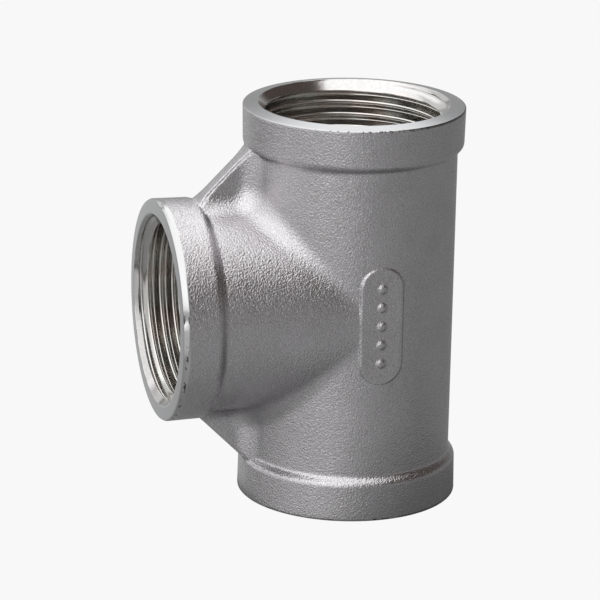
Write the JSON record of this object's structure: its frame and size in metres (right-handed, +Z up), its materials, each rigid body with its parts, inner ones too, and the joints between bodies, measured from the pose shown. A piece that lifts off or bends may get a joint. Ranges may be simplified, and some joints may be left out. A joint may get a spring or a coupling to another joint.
{
  "type": "threaded tee",
  "caption": "Equal tee pipe fitting, cast stainless steel, with internally threaded ports in banded collars, corner webs and a blended branch.",
  "frame": {"origin": "on the run's axis, where the bottom port's countersink ends and its threaded bore begins", "axes": "+Z up along the run, -X out along the branch, -Y towards the marking pad"},
  "size_m": [0.0557, 0.0394, 0.0719],
  "materials": {
    "casting": "blasted investment casting with machined ports"
  },
  "bodies": {
    "root": {"tee_casting": "casting"}
  },
  "joints": []
}
